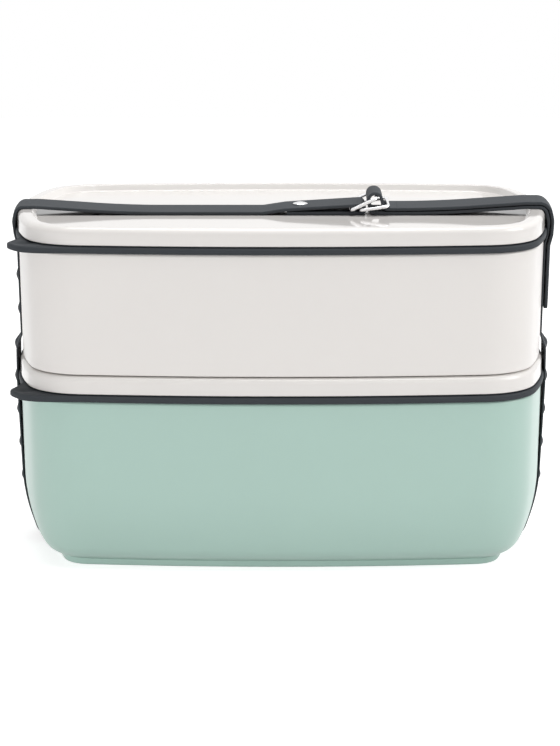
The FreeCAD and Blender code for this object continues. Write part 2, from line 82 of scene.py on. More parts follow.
# Tubs
TUB_WALL = 3.6
RIM_R = 1.2
LOWER_RIM_INSET = 0.2
LOWER_FLOOR_Z = 2.6
LOWER_FLOOR_T = 4.4
BELLY_INSET = 1.1
BELLY_Z = 20.7
BELLY_R = 66.0
BELLY_LEAN = math.radians(19.5)
TOE_Z = 5.6
TOE_R = 9.0
TOE_SLOPE = math.radians(24.0)
INNER_TOE_R = 7.0
FOOT_INSET = 13.2
FOOT_W = 3.6
EDGE_R = 0.8
SEAT_GAP = 0.05
STACK_GAP = 0.4
NOTCH_H = 1.35
NOTCH_HALF_W = 10.6
NOTCH_EDGE = 0.1
UPPER_RIM_INSET = 0.35
UPPER_BASE_INSET = 1.15
UPPER_FLOOR_T = 4.6
UPPER_FOOT_RECESS = 2.5
UPPER_FOOT_INSET = 11.5

# Lids
LID_H = 6.8
LID_SHOULDER_R = 2.4
LID_DRAFT = 0.2
LID_RIM_W = 5.6
LID_SLOPE_W = 1.8
LID_FLOOR_Z = 4.3
LID_FLOOR_T = 2.4
LID_INNER_R = 0.7
PLUG_INSET = 7.0
PLUG_T = 2.4
PLUG_DEPTH = 6.2

# Seals
SEAL_T = 3.1
SEAL_PROUD = 0.8
SEAL_SHADOW_GAP = 0.6
SEAL_SHADOW_DEPTH = 2.2
SEAL_SKIRT_T = 1.6
SEAL_SKIRT_DEPTH = 5.6
SEAL_LIP_INSET = 4.3
SEAL_LIP_Z = 4.4
SEAL_LIP_R = 0.3
SEAL_EDGE_R = 0.75
TAB_STATIONS = (35.5, 40.8, 44.8, 47.4, 55.2, 58.4, 62.0, 64.8, 68.0, 73.0)
TAB_REACHES = (0.0, 2.0, 4.7, 7.4, 7.4, 6.0, 4.0, 2.5, 1.1, 0.0)
TAB_SOFTNESS = 0.9
TAB_DIMPLE_AT = (-98.6, -51.5)
TAB_DIMPLE_R = 5.0
TAB_DIMPLE_DEPTH = 0.7

# Strap
STRAP_W = 20.0
STRAP_T = 1.3
STRETCHED_T = 0.7
STRAP_Y = -4.5
STRAP_EDGE_R = 0.45
STRAP_SKIN = 0.01
STRAP_GAP = 0.15
STRAP_GROUND_GAP = 0.3
STRAP_LAYER_GAP = 0.05
STRAP_FLAT_X = 92.0
RAMP_START_INSET = 8.0
RAMP_START_R = 10.0
RAMP_FOOT_X = 61.0
RAMP_FOOT_REACH = 14.0
RIM_EDGE_PROUD = 0.25
RIM_EDGE_R = 3.2
BULGE_PROUD = 1.6
BULGE_DROP = 4.6
BULGE_R = 8.0
LOWER_SEAL_BEND_R = 12.4
SIDE_BEND_R = 6.2
UPPER_SEAL_BEND_R = 3.1
STUD_PITCH = 13.8
STUD_FIRST_Z = 25.7
STUD_COUNT = 7
STUD_HALF = 4.0
STUD_TIP_HALF = 0.7
STUD_H = 1.1
TAIL_GAP = 0.3
TAIL_END_R = 7.0
STRAP_STEP = 0.5

# Corners of the strap's side route, counted from below, at which the tail ends and the top runs start
TAIL_CORNER = 3
TOP_RUN_CORNER = 5

# Buckle
WIRE_D = 1.4
RING_SPAN = 11.2
RING_INNER_W = 21.6
RING_BEND_R = 1.6
BAR_GAP = 0.13
FOLD_SLACK = 0.45
INNER_BAR_X = 27.6
BAR_SPACING = 3.6
INNER_RING_TILT = math.radians(25.6)
FOLD_START_X = -7.0
FOLD_END_X = 2.2
FOLD_NOSE_GAP = 0.5
FOLD_BEND_R = 12.0
LOOP_SIDE_GAP = 0.05
LOOP_R = 2.35
LOOP_LEAN = 0.9
LOOP_FLARE = 1.6
LOOP_ROOT_R = 2.0
LOOP_TOP_GAP = 0.15
TAIL_ROOT_X = 46.0
TAIL_BAR_GAP = 0.12
RIVET_X = 7.6
RIVET_HEAD_D = 5.9
RIVET_HEAD_H = 1.0
RIVET_EDGE_H = 0.3
RIVET_EDGE_BREAK = 0.1
RIVET_DOME_INSET = 0.15
RIVET_TIP_R = 0.05
RIVET_SHANK_R = 1.5

# Heights of the stack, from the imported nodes
LOWER_RIM_Z = node_box("lower_box")[1][2]
LOWER_LID_Z = node_box("lower_lid")[1][2] - LID_H
UPPER_RIM_Z = node_box("upper_box")[1][2]
UPPER_FOOT_Z = node_box("upper_box")[0][2]
UPPER_LID_Z = node_box("upper_lid")[1][2] - LID_H
UPPER_BASE_Z = LOWER_LID_Z + LID_H + STACK_GAP
RECESS_Z = UPPER_LID_Z + LID_FLOOR_Z
RIM_TOP_Z = UPPER_LID_Z + LID_H
STRETCH_LOW_Z = node_box("strap_left_lower")[0][2]
STRETCH_MID_Z = node_box("strap_left_middle")[0][2]
STRETCH_TOP_Z = node_box("strap_left_upper")[0][2]
SIDE_RUN_TOP_Z = node_box("strap_left_upper")[1][2]
TAIL_END_Z = node_box("strap_tail")[0][2]

# Middle lines of the strap's layers
SIDE_OFFSET = STRAP_GAP + STRETCHED_T / 2
LAYER_PITCH = STRAP_T + STRAP_LAYER_GAP
TAIL_LIFT = STRAP_T + TAIL_GAP
FLOOR_RUN_Z = RECESS_Z + STRAP_GAP + STRAP_T / 2
RIM_RUN_Z = RIM_TOP_Z + SEAT_GAP + STRAP_T / 2
RAMP_ANGLE = math.atan2(RIM_RUN_Z - FLOOR_RUN_Z, HALF_L - RAMP_START_INSET - RAMP_FOOT_X)
RAMP_FOOT_R = RAMP_FOOT_REACH / math.tan(RAMP_ANGLE / 2)
BASE_RUN_Z = STRAP_GROUND_GAP + STRETCHED_T / 2
BAR_Z = FLOOR_RUN_Z + STRAP_T / 2 + BAR_GAP + WIRE_D / 2
OUTER_BAR_X = INNER_BAR_X + BAR_SPACING
TAIL_ROOT_Z = FLOOR_RUN_Z + TAIL_LIFT
OUTER_RING_TILT = math.asin((TAIL_LIFT + TAIL_BAR_GAP - BAR_GAP) / RING_SPAN)
FOLD_TOP_Z = BAR_Z + WIRE_D / 2 + FOLD_SLACK + STRAP_T / 2
FOLD_NOSE_X = OUTER_BAR_X + WIRE_D / 2 + FOLD_NOSE_GAP + STRAP_T / 2

# Mesh fineness
SPAN_COLUMNS = 14
TAB_SPAN_COLUMNS = 36
ARC_STEPS = 9
HOLD_SHARE = 0.3
TAB_SAMPLES = 15
TAB_FACE_ROWS = 10
STUDDED_COLUMNS = 60
PLAIN_COLUMNS = 12
STRAP_EDGE_STEPS = 5
SIDE_ARC_STEPS = 24
TOP_ARC_STEPS = 20
BUCKLE_ARC_STEPS = 14
WIRE_COLUMNS = 20
RIVET_COLUMNS = 48
RIVET_DOME_ROWS = 12
SHARP_ANGLE = math.radians(40)
TINY = 1e-6

# Glaze
PIN_SIZE = 0.06
PIN_SHADE = 0.4
PIN_DEPTH = 0.5
GLAZE_SMOOTHEST = 0.85
GLAZE_ROUGHEST = 1.2
GLAZE_BUMP = (0.05, 0.0004)
GLAZE_COAT = {"Coat_Weight": 0.15, "Coat_Roughness": 0.2}

# Stage, in metres
FLOOR_HALF = 1.5
FLOOR_GREY = 0.6
FLOOR_GLOW = 0.76
FLOOR_ROUGHNESS = 0.9
SKY_LIGHT = 0.22
SKY_SEEN = 0.78
BOX_TOP = (0, 0, 0.1)
BOX_MIDDLE = (0, 0, 0.07)

# Camera fitted to the photograph
PHOTO_W, PHOTO_H = 560, 746
FOCAL_PX = 2555.4
AXIS_U = 281.2
CAMERA_ELEVATION = math.radians(12.17)
CAMERA_DISTANCE = 1038.7
CAMERA_TARGET_Z = 66.8
SENSOR_W = 36.0


def corner_centre():
    """Centre of a corner arc, in the quarter with positive x and y.

    It lies CORNER_R inside both bowed sides, so two circles about the sides' centres cross there.
    """
    side = np.array([HALF_L - SHORT_SIDE_BOW_R, 0.0])
    long_side = np.array([0.0, HALF_W - LONG_SIDE_BOW_R])
    to_side = SHORT_SIDE_BOW_R - CORNER_R
    to_long = LONG_SIDE_BOW_R - CORNER_R
    span = np.linalg.norm(side - long_side)
    along = (side - long_side) / span
    foot = (to_long ** 2 - to_side ** 2 + span ** 2) / (2 * span)
    height = math.sqrt(to_long ** 2 - foot ** 2)
    return long_side + along * foot + np.array([along[1], -along[0]]) * height


CORNER = corner_centre()
SIDE_HALF_ANGLE = math.atan2(CORNER[1], CORNER[0] - HALF_L + SHORT_SIDE_BOW_R)
LONG_HALF_ANGLE = math.atan2(CORNER[0], CORNER[1] - HALF_W + LONG_SIDE_BOW_R)


def outline(per_span, extra=()):
    """Points and outward normals round the plan outline, from the left middle by way of the front.

    A point whose outward normal is n lies at c + R n. There c and R are the centre and radius of the side
    arc, corner arc or long arc that the normal's angle falls in, folded into the first quarter. Extra angles,
    measured from the left middle, each add a point.
    """
    quarter = np.array([0, SIDE_HALF_ANGLE, math.pi / 2 - LONG_HALF_ANGLE, math.pi / 2])
    turn = np.concatenate([quarter, math.pi - quarter, math.pi + quarter, 2 * math.pi - quarter])
    knots = np.unique(np.round(turn, 9))
    spans = len(knots) - 1
    even = np.interp(np.arange(spans * per_span) / per_span, np.arange(spans + 1), knots)
    angle = math.pi + np.union1d(even, extra)
    normal = np.stack([np.cos(angle), np.sin(angle)], axis=1)
    folded = np.arctan2(np.abs(normal[:, 1]), np.abs(normal[:, 0]))
    on_side = folded < SIDE_HALF_ANGLE
    on_long = folded > math.pi / 2 - LONG_HALF_ANGLE
    centre_x = np.select([on_side, on_long], [HALF_L - SHORT_SIDE_BOW_R, 0.0], CORNER[0])
    centre_y = np.select([on_side, on_long], [0.0, HALF_W - LONG_SIDE_BOW_R], CORNER[1])
    radius = np.select([on_side, on_long], [SHORT_SIDE_BOW_R, LONG_SIDE_BOW_R], CORNER_R)
    centre = np.sign(np.round(normal, 12)) * np.stack([centre_x, centre_y], axis=1)
    return centre + radius[:, None] * normal, normal


def rounded(corners, closed=False, steps=ARC_STEPS):
    """Polyline through corners (a, b, radius), each replaced by an arc of its radius that touches both runs.

    The arc is the spherical blend of the two radii to its ends. One more point on each run holds the run
    flat.
    """
    corners = np.array(corners, float)
    flat = corners[:, :2]
    count = len(flat)
    run = np.roll(flat, -1, axis=0) - flat
    length = np.maximum(np.linalg.norm(run, axis=1), TINY)
    ahead = run / length[:, None]
    back = -np.roll(ahead, 1, axis=0)
    half = np.arccos(np.clip((back * ahead).sum(axis=1), -1, 1)) / 2
    round_corner = corners[:, 2] > 0
    if not closed:
        round_corner[[0, -1]] = False
    reach = np.where(round_corner, corners[:, 2] / np.tan(half), 0)
    free = np.maximum(length - reach - np.roll(reach, -1), 0)
    hold = HOLD_SHARE * np.minimum(free, corners[:, 2])
    hold_back = HOLD_SHARE * np.minimum(np.roll(free, 1), corners[:, 2])
    lines = []
    for i in range(count):
        here = flat[i]
        if not round_corner[i]:
            lines.append(here[None])
            continue
        bisector = (back[i] + ahead[i]) / np.linalg.norm(back[i] + ahead[i])
        centre = here + bisector * corners[i, 2] / math.sin(half[i])
        first, last = here + back[i] * reach[i] - centre, here + ahead[i] * reach[i] - centre
        sweep = math.pi - 2 * half[i]
        t = np.linspace(0, 1, steps)[:, None]
        arc = centre + (np.sin((1 - t) * sweep) * first + np.sin(t * sweep) * last) / math.sin(sweep)
        lines.append(np.concatenate([arc[:1] + back[i] * hold_back[i], arc, arc[-1:] + ahead[i] * hold[i]]))
    return np.concatenate(lines)


def way_along(route):
    """Distance from a route's start to each of its points: the running sum of its chords."""
    chords = np.linalg.norm(np.diff(route, axis=0), axis=1)
    return np.concatenate([[0], np.cumsum(chords)])


def carried(section, columns):
    """Grid of a section (inset, z) carried round the outline.

    Each place is the outline point less the inset times its normal, at height z.
    """
    points, normals = columns
    inset, z = section[:, 0, None], section[:, 1, None]
    xy = points[None] - inset[..., None] * normals[None]
    return np.dstack([xy, np.broadcast_to(z, xy.shape[:2])])


def grid_faces(rows, columns, wrap_rows):
    """Quads between neighbouring rows and columns of a grid whose columns close, as vertex numbers."""
    i, j = np.meshgrid(np.arange(rows - (not wrap_rows)), np.arange(columns), indexing="ij")
    k, m = (i + 1) % rows, (j + 1) % columns
    corners = [i * columns + j, k * columns + j, k * columns + m, i * columns + m]
    return np.stack(corners, axis=-1).reshape(-1, 4)


def surface(name, grid, material, wrap_rows=False):
    """Closed mesh piece from a grid in millimetres whose columns close on themselves.

    Where the rows don't close too, a flat face ends the first and the last row.
    """
    rows, columns = grid.shape[:2]
    faces = grid_faces(rows, columns, wrap_rows).tolist()
    if not wrap_rows:
        faces += [list(range(columns)), list(range((rows - 1) * columns, rows * columns))]
    mesh = bpy.data.meshes.new(name)
    mesh.from_pydata((grid.reshape(-1, 3) * MM).tolist(), [], faces)
    shape = bmesh.new()
    shape.from_mesh(mesh)
    bmesh.ops.recalc_face_normals(shape, faces=shape.faces)
    shape.to_mesh(mesh)
    shape.free()
    mesh.shade_smooth()
    mesh.set_sharp_from_angle(angle=SHARP_ANGLE)
    mesh.materials.append(material)
    piece = bpy.data.objects.new(name, mesh)
    bpy.context.scene.collection.objects.link(piece)
    return piece


def seated(piece, body, node):
    """A piece that rides on a body and stands for one CAD node."""
    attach(piece, body)
    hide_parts(node)


def stretched(piece, node):
    """A strap run from the body below it to the body above it, baked in place and attached to neither; it
    stands for one CAD node.
    """
    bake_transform(piece)
    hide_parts(node)


# Materials

def feed(tree, socket, value):
    """Links a socket to another one, or gives it a plain value."""
    if isinstance(value, bpy.types.NodeSocket):
        tree.links.new(value, socket)
    else:
        socket.default_value = value


def add_node(tree, kind, **inputs):
    """A node with values or links on its named inputs; underscores stand for spaces."""
    node = tree.nodes.new(kind)
    for name, value in inputs.items():
        feed(tree, node.inputs[name.replace("_", " ")], value)
    return node


def math_node(tree, operation, first, second):
    """Result of an operation on two values or links."""
    node = tree.nodes.new("ShaderNodeMath")
    node.operation = operation
    feed(tree, node.inputs[0], first)
    feed(tree, node.inputs[1], second)
    return node.outputs[0]


def spread_node(tree, value, low, high):
    """Value between 0 and 1 spread between low and high."""
    return add_node(tree, "ShaderNodeMapRange", Value=value, To_Min=low, To_Max=high).outputs["Result"]


def noise_node(tree, **inputs):
    """Noise on Object coordinates, between 0 and 1."""
    place = tree.nodes.new("ShaderNodeTexCoord").outputs["Object"]
    return add_node(tree, "ShaderNodeTexNoise", Vector=place, **inputs).outputs[0]


def scaled_colour(tree, colour, share):
    """A colour times a share."""
    node = tree.nodes.new("ShaderNodeVectorMath")
    node.operation = "SCALE"
    feed(tree, node.inputs[0], colour)
    feed(tree, node.inputs["Scale"], share)
    return node.outputs[0]


def effect_group(name, **values):
    """Node group that takes a colour and named values, and puts out a colour, a roughness and a height.

    Also gives the sockets that its own nodes read from and those that they end in.
    """
    group = bpy.data.node_groups.new(name, "ShaderNodeTree")
    group.interface.new_socket("Color", in_out="INPUT", socket_type="NodeSocketColor")
    for key, value in values.items():
        group.interface.new_socket(key, in_out="INPUT", socket_type="NodeSocketFloat").default_value = value
    group.interface.new_socket("Color", in_out="OUTPUT", socket_type="NodeSocketColor")
    for key in ("Roughness", "Height"):
        group.interface.new_socket(key, in_out="OUTPUT", socket_type="NodeSocketFloat")
    enter = group.nodes.new("NodeGroupInput")
    leave = group.nodes.new("NodeGroupOutput")
    return group, enter.outputs, leave.inputs


def glaze_group():
    """Fired glaze: broad pooling of the colour, a soft orange-peel surface and fine pin marks."""
    group, given, result = effect_group("fired_glaze", Pooling=0.05, Roughness=0.3)
    broad = noise_node(group, Scale=22.0, Detail=3.0, Roughness=0.5)
    peel = noise_node(group, Scale=420.0, Detail=1.0)
    place = group.nodes.new("ShaderNodeTexCoord").outputs["Object"]
    pins = add_node(group, "ShaderNodeTexVoronoi", Vector=place, Scale=260.0).outputs["Distance"]
    pin_mask = math_node(group, "LESS_THAN", pins, PIN_SIZE)
    shade = spread_node(group, broad, math_node(group, "SUBTRACT", 1.0, given["Pooling"]), 1.0)
    pin_tint = math_node(group, "MULTIPLY", given["Pooling"], PIN_SHADE)
    pin_shade = math_node(group, "MULTIPLY", pin_mask, pin_tint)
    pinned = math_node(group, "MULTIPLY", shade, math_node(group, "SUBTRACT", 1.0, pin_shade))
    smoothest = math_node(group, "MULTIPLY", given["Roughness"], GLAZE_SMOOTHEST)
    roughest = math_node(group, "MULTIPLY", given["Roughness"], GLAZE_ROUGHEST)
    pin_depth = math_node(group, "MULTIPLY", pin_mask, PIN_DEPTH)
    feed(group, result["Color"], scaled_colour(group, given["Color"], pinned))
    feed(group, result["Roughness"], spread_node(group, broad, smoothest, roughest))
    feed(group, result["Height"], math_node(group, "SUBTRACT", peel, pin_depth))
    return group


def moulded_group():
    """Moulded or drawn surface: fine grain, faint rubbed patches and a slight change of shade."""
    group, given, result = effect_group("moulded_surface", Change=0.05, Grain=900.0, Smooth=0.2, Rubbed=0.3)
    patches = noise_node(group, Scale=35.0, Detail=4.0, Roughness=0.6)
    grain = noise_node(group, Scale=given["Grain"], Detail=2.0)
    darkest = math_node(group, "SUBTRACT", 1.0, given["Change"])
    average = math_node(group, "MULTIPLY", math_node(group, "ADD", patches, grain), 0.5)
    shade = spread_node(group, average, darkest, 1.0)
    feed(group, result["Color"], scaled_colour(group, given["Color"], shade))
    feed(group, result["Roughness"], spread_node(group, patches, given["Smooth"], given["Rubbed"]))
    feed(group, result["Height"], grain)
    return group


def finish_material(name, group, values, bump, **shader):
    """Principled material whose colour, roughness and bump come from a shared group.

    The group takes this finish's values; bump is its strength and distance.
    """
    material = bpy.data.materials.new(name)
    material.use_nodes = True
    tree = material.node_tree
    shade = tree.nodes["Principled BSDF"]
    effect = tree.nodes.new("ShaderNodeGroup")
    effect.node_tree = group
    for key, value in values.items():
        effect.inputs[key].default_value = value
    tree.links.new(effect.outputs["Color"], shade.inputs["Base Color"])
    tree.links.new(effect.outputs["Roughness"], shade.inputs["Roughness"])
    strength, distance = bump
    height = effect.outputs["Height"]
    relief = add_node(tree, "ShaderNodeBump", Height=height, Strength=strength, Distance=distance)
    tree.links.new(relief.outputs[0], shade.inputs["Normal"])
    for key, value in shader.items():
        shade.inputs[key.replace("_", " ")].default_value = value
    return material


GLAZE = glaze_group()
MOULDED = moulded_group()
MINT = finish_material(
    "mint_glaze", GLAZE, {"Color": (0.415, 0.58, 0.517, 1), "Pooling": 0.04, "Roughness": 0.34},
    GLAZE_BUMP, **GLAZE_COAT)
WHITE = finish_material(
    "white_glaze", GLAZE, {"Color": (0.79, 0.76, 0.735, 1), "Pooling": 0.02, "Roughness": 0.32},
    GLAZE_BUMP, **GLAZE_COAT)
LID_PLASTIC = finish_material(
    "gloss_lid_plastic", MOULDED,
    {"Color": (0.775, 0.747, 0.722, 1), "Change": 0.015, "Grain": 500.0, "Smooth": 0.05, "Rubbed": 0.10},
    bump=(0.02, 0.0002))
SILICONE = finish_material(
    "matt_grey_silicone", MOULDED,
    {"Color": (0.056, 0.0615, 0.068, 1), "Change": 0.12, "Grain": 2600.0, "Smooth": 0.48, "Rubbed": 0.62},
    bump=(0.12, 0.0002), Specular_IOR_Level=0.04)
STEEL = finish_material(
    "polished_wire_steel", MOULDED,
    {"Color": (0.86, 0.86, 0.87, 1), "Change": 0.06, "Grain": 3200.0, "Smooth": 0.10, "Rubbed": 0.24},
    bump=(0.04, 0.0001), Metallic=1.0)


# Tubs

def notch_edges():
    """Angles round the outline, from the left middle, at and just beside the edges of the foot's two notches.

    An edge at a distance y from the middle lies where the sine of the angle is y over the foot's bow radius.
    """
    half = np.array([NOTCH_HALF_W, NOTCH_HALF_W + NOTCH_EDGE])
    across = np.arcsin(np.concatenate([STRAP_Y - half, STRAP_Y + half]) / (SHORT_SIDE_BOW_R - FOOT_INSET))
    return np.concatenate([-across % (2 * math.pi), math.pi + across])


def lower_tub():
    """Belly section with a large rounding, carried round the plan; foot ring notched for the strap."""
    lean = math.tan(BELLY_LEAN)
    floor_top = LOWER_FLOOR_Z + LOWER_FLOOR_T
    toe_inset = BELLY_INSET + (BELLY_Z - TOE_Z) * lean
    foot_top = TOE_Z - (FOOT_INSET - toe_inset) * math.tan(TOE_SLOPE)
    section = rounded([
        (CENTRE_INSET, LOWER_FLOOR_Z, 0),
        (FOOT_INSET + FOOT_W, LOWER_FLOOR_Z, 0),
        (FOOT_INSET + FOOT_W, 0, EDGE_R),
        (FOOT_INSET, 0, EDGE_R),
        (FOOT_INSET, foot_top, EDGE_R / 2),
        (toe_inset, TOE_Z, TOE_R),
        (BELLY_INSET, BELLY_Z, BELLY_R),
        (LOWER_RIM_INSET, LOWER_RIM_Z, RIM_R),
        (LOWER_RIM_INSET + TUB_WALL, LOWER_RIM_Z, RIM_R),
        (BELLY_INSET + TUB_WALL, BELLY_Z, BELLY_R - TUB_WALL),
        (BELLY_INSET + TUB_WALL + (BELLY_Z - floor_top) * lean, floor_top, INNER_TOE_R),
        (CENTRE_INSET, floor_top, 0),
    ])
    points, normals = outline(SPAN_COLUMNS, notch_edges())
    grid = carried(section, (points, normals))
    across = np.abs((SHORT_SIDE_BOW_R - FOOT_INSET) * normals[:, 1] - STRAP_Y)
    notched = (across < NOTCH_HALF_W + NOTCH_EDGE / 2) & (np.abs(normals[:, 0]) > math.cos(SIDE_HALF_ANGLE))
    grid[..., 2] = np.where(notched[None] & (grid[..., 2] < NOTCH_H), NOTCH_H, grid[..., 2])
    seated(surface("mint_tub", grid, MINT), "lower_box", "lower_box")


def upper_tub():
    """Near upright section carried round the plan, with a foot ring that stands in the lid below."""
    floor_bottom = UPPER_FOOT_Z + UPPER_FOOT_RECESS
    floor_top = floor_bottom + UPPER_FLOOR_T
    section = rounded([
        (CENTRE_INSET, floor_bottom, 0),
        (UPPER_FOOT_INSET + FOOT_W, floor_bottom, 0),
        (UPPER_FOOT_INSET + FOOT_W, UPPER_FOOT_Z, EDGE_R),
        (UPPER_FOOT_INSET, UPPER_FOOT_Z, EDGE_R),
        (UPPER_FOOT_INSET, UPPER_BASE_Z, 0),
        (UPPER_BASE_INSET, UPPER_BASE_Z, EDGE_R),
        (UPPER_RIM_INSET, UPPER_RIM_Z, RIM_R),
        (UPPER_RIM_INSET + TUB_WALL, UPPER_RIM_Z, RIM_R),
        (UPPER_BASE_INSET + TUB_WALL, floor_top, INNER_TOE_R),
        (CENTRE_INSET, floor_top, 0),
    ])
    grid = carried(section, outline(SPAN_COLUMNS))
    seated(surface("white_tub", grid, WHITE), "upper_box", "upper_box")


# Lids and seals

def lid(name, body, base_z):
    """Raised rim round a recess, and a plug underneath, as one section carried round the plan."""
    floor_top = base_z + LID_FLOOR_Z
    floor_bottom = floor_top - LID_FLOOR_T
    top = base_z + LID_H
    plug_inner = PLUG_INSET + PLUG_T
    section = rounded([
        (CENTRE_INSET, floor_bottom, 0),
        (plug_inner, floor_bottom, EDGE_R),
        (plug_inner, base_z - PLUG_DEPTH, EDGE_R),
        (PLUG_INSET, base_z - PLUG_DEPTH, EDGE_R),
        (PLUG_INSET, base_z, 0),
        (0, base_z, EDGE_R / 4),
        (LID_DRAFT, top, LID_SHOULDER_R),
        (LID_RIM_W, top, LID_INNER_R),
        (LID_RIM_W + LID_SLOPE_W, floor_top, LID_INNER_R),
        (CENTRE_INSET, floor_top, 0),
    ])
    grid = carried(section, outline(SPAN_COLUMNS))
    seated(surface(name, grid, LID_PLASTIC), body, body)


def tab_reach(points):
    """How far the pull tab stands out at each outline point.

    The reach is a line through the tab's stations along the outline, averaged over a short stretch so that
    its corners are soft.
    """
    nearby = way_along(points)[:, None] + np.linspace(-TAB_SOFTNESS, TAB_SOFTNESS, TAB_SAMPLES)[None]
    return np.interp(nearby, TAB_STATIONS, TAB_REACHES).mean(axis=1)


def seal(name, body, node, base_z):
    """Outer band, skirt and lip as one closed section carried round the plan.

    The band's outer part moves out by the tab's reach times its share of the way to the edge. The tab's
    dimple is its depth times the square of one less the squared share of the way from its middle to its edge.
    """
    bottom = base_z - SEAL_T
    shadow_z = base_z - SEAL_SHADOW_GAP
    shadow_end = SEAL_SHADOW_DEPTH - SEAL_PROUD
    skirt_inset = PLUG_INSET - SEAL_SKIRT_T
    lip_half = SEAL_SKIRT_DEPTH - SEAL_LIP_Z
    edge = rounded([
        (shadow_end, shadow_z, 0), (-SEAL_PROUD, shadow_z, SEAL_EDGE_R), (-SEAL_PROUD, bottom, SEAL_EDGE_R),
        (shadow_end, bottom, 0)])
    inner = rounded([
        (skirt_inset, bottom, 0), (skirt_inset, base_z - SEAL_LIP_Z + lip_half, 0),
        (SEAL_LIP_INSET, base_z - SEAL_LIP_Z, SEAL_LIP_R), (skirt_inset, base_z - SEAL_SKIRT_DEPTH, 0),
        (PLUG_INSET, base_z - SEAL_SKIRT_DEPTH, 0), (PLUG_INSET, base_z, 0), (shadow_end, base_z, 0)])
    fine = np.linspace(shadow_end, -SEAL_PROUD + SEAL_EDGE_R, TAB_FACE_ROWS)[1:-1, None]
    upper_face = np.concatenate([fine, np.full_like(fine, shadow_z)], axis=1)
    lower_face = np.concatenate([fine[::-1], np.full_like(fine, bottom)], axis=1)
    section = np.concatenate([edge[:1], upper_face, edge[1:-1], lower_face, edge[-1:], inner])
    points, normals = outline(TAB_SPAN_COLUMNS)
    grid = carried(section, (points, normals))
    outwards = np.clip((shadow_end - section[:, 0]) / (shadow_end + SEAL_PROUD - SEAL_EDGE_R), 0, 1)
    grid[..., :2] += (outwards[:, None] * tab_reach(points)[None])[..., None] * normals[None]
    away = np.hypot(grid[..., 0] - TAB_DIMPLE_AT[0], grid[..., 1] - TAB_DIMPLE_AT[1]) / TAB_DIMPLE_R
    hollow = TAB_DIMPLE_DEPTH * np.clip(1 - away ** 2, 0, 1) ** 2
    on_top = (outwards > 0)[:, None] & (grid[..., 2] > (bottom + shadow_z) / 2)
    grid[..., 2] -= np.where(on_top, hollow, 0)
    seated(surface(name, grid, SILICONE, wrap_rows=True), body, node)


# Strap

def lifted(corners, lift):
    """A route moved by lift to the left of its way.

    Each corner goes along its mitre, and its radius grows or shrinks by the lift.
    """
    corners = np.array(corners, float)
    run = np.diff(corners[:, :2], axis=0)
    run /= np.linalg.norm(run, axis=1)[:, None]
    side = np.stack([-run[:, 1], run[:, 0]], axis=1)
    before, after = np.concatenate([side[:1], side]), np.concatenate([side, side[-1:]])
    mitre = (before + after) / (1 + (before * after).sum(axis=1))[:, None]
    turns_right = before[:, 0] * after[:, 1] < before[:, 1] * after[:, 0]
    radius = corners[:, 2] + np.where(turns_right, lift, -lift)
    return np.column_stack([corners[:, :2] + lift * mitre, radius])


def side_corners(side, lift=0.0):
    """Route up one short side, from under the base over the lid's rim to the recess.

    Side is -1 for left and 1 for right. A second layer runs outside the first by its lift.
    """
    lean_shift = SIDE_OFFSET / math.cos(BELLY_LEAN)
    toe_run = BELLY_INSET - lean_shift + (BELLY_Z - BASE_RUN_Z) * math.tan(BELLY_LEAN)
    seal_run = -SEAL_PROUD - SIDE_OFFSET
    corners = [
        (toe_run, BASE_RUN_Z, TOE_R + SIDE_OFFSET),
        (BELLY_INSET - SIDE_OFFSET, BELLY_Z - SIDE_OFFSET * math.tan(BELLY_LEAN / 2), BELLY_R + SIDE_OFFSET),
        (seal_run, LOWER_RIM_Z - SEAL_T, LOWER_SEAL_BEND_R),
        (seal_run, UPPER_BASE_Z + STRAP_T, SIDE_BEND_R),
        (UPPER_BASE_INSET - SIDE_OFFSET, UPPER_BASE_Z + LID_H, SIDE_BEND_R),
        (UPPER_RIM_INSET - SIDE_OFFSET, UPPER_RIM_Z - SEAL_T - STRAP_T, SIDE_BEND_R),
        (seal_run, UPPER_RIM_Z, UPPER_SEAL_BEND_R),
        (-BULGE_PROUD, RIM_TOP_Z - BULGE_DROP, BULGE_R),
        (-RIM_EDGE_PROUD, RIM_RUN_Z, RIM_EDGE_R),
        (RAMP_START_INSET, RIM_RUN_Z, RAMP_START_R),
        (HALF_L - RAMP_FOOT_X, FLOOR_RUN_Z, RAMP_FOOT_R),
        (HALF_L - TAIL_ROOT_X, FLOOR_RUN_Z, 0),
    ]
    return [(side * (HALF_L - inset), z, radius) for inset, z, radius in lifted(corners, lift)]


def resampled(route, start=0.0, end=None):
    """A route's points at even steps between two distances along it, with its unit directions."""
    way = way_along(route)
    end = way[-1] if end is None else end
    at = np.linspace(start, end, max(2, math.ceil((end - start) / STRAP_STEP) + 1))
    points = np.stack([np.interp(at, way, route[:, k]) for k in range(2)], axis=1)
    ahead = np.gradient(points, axis=0)
    return points, ahead / np.linalg.norm(ahead, axis=1)[:, None]


def way_at_height(route, z):
    """Distance along a route at which it first reaches a height, read off the highest point so far."""
    return np.interp(z, np.maximum.accumulate(route[:, 1]), way_along(route))


def band_section(columns):
    """Closed rounded rectangle (across, out) of the strap, with that many columns on its outer face.

    The outer face comes after three corners, each an arc with one more point on either side.
    """
    half, thick = STRAP_W / 2, STRAP_T / 2 - STRAP_SKIN
    edge = rounded([(-half, -thick, STRAP_EDGE_R), (half, -thick, STRAP_EDGE_R), (half, thick, STRAP_EDGE_R),
                    (-half, thick, STRAP_EDGE_R)], closed=True, steps=STRAP_EDGE_STEPS)
    flat = np.linspace(half - 2 * STRAP_EDGE_R, -half + 2 * STRAP_EDGE_R, columns)
    split = 3 * (STRAP_EDGE_STEPS + 2)
    outer = np.stack([flat, np.full_like(flat, thick)], axis=1)
    return np.concatenate([edge[:split], outer, edge[split:]])


